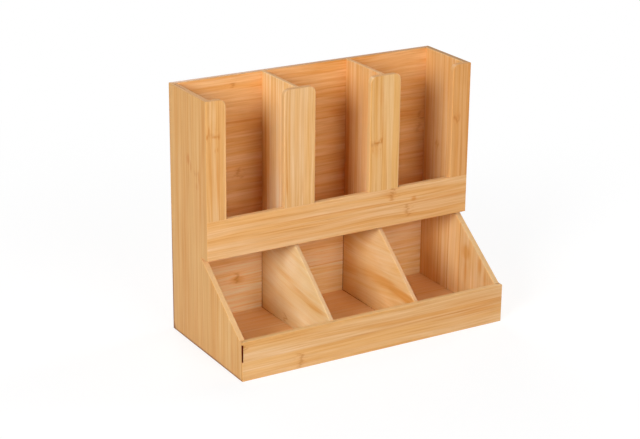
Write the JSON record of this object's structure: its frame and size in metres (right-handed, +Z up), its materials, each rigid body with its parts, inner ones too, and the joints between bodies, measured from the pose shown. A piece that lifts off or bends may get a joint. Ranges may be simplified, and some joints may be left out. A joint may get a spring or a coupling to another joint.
{
  "type": "coffee capsule organizer",
  "caption": "Bamboo caddy for coffee capsules: tall upper compartments with slots between narrow front posts, above open bins with sloping sides and a low front rail.",
  "frame": {"origin": "middle of the footprint, on the surface that the organizer stands on", "axes": "+X along the width to the right as seen from the front, +Y towards the back, +Z up"},
  "size_m": [0.345, 0.17, 0.295],
  "materials": {
    "bamboo_upright": "satin",
    "bamboo_level": "satin",
    "bamboo_divider": "satin",
    "bamboo_floor": "satin"
  },
  "bodies": {
    "root": {"left_side": "bamboo_upright", "right_side": "bamboo_upright", "back_panel": "bamboo_level", "bottom_board": "bamboo_floor", "middle_shelf": "bamboo_floor", "upper_divider_left": "bamboo_upright", "upper_divider_right": "bamboo_upright", "lower_divider_left": "bamboo_divider", "lower_divider_right": "bamboo_divider", "upper_front_rail": "bamboo_level", "lower_front_rail": "bamboo_level", "left_edge_post": "bamboo_upright", "left_centre_post": "bamboo_upright", "right_centre_post": "bamboo_upright", "right_edge_post": "bamboo_upright"}
  },
  "joints": []
}
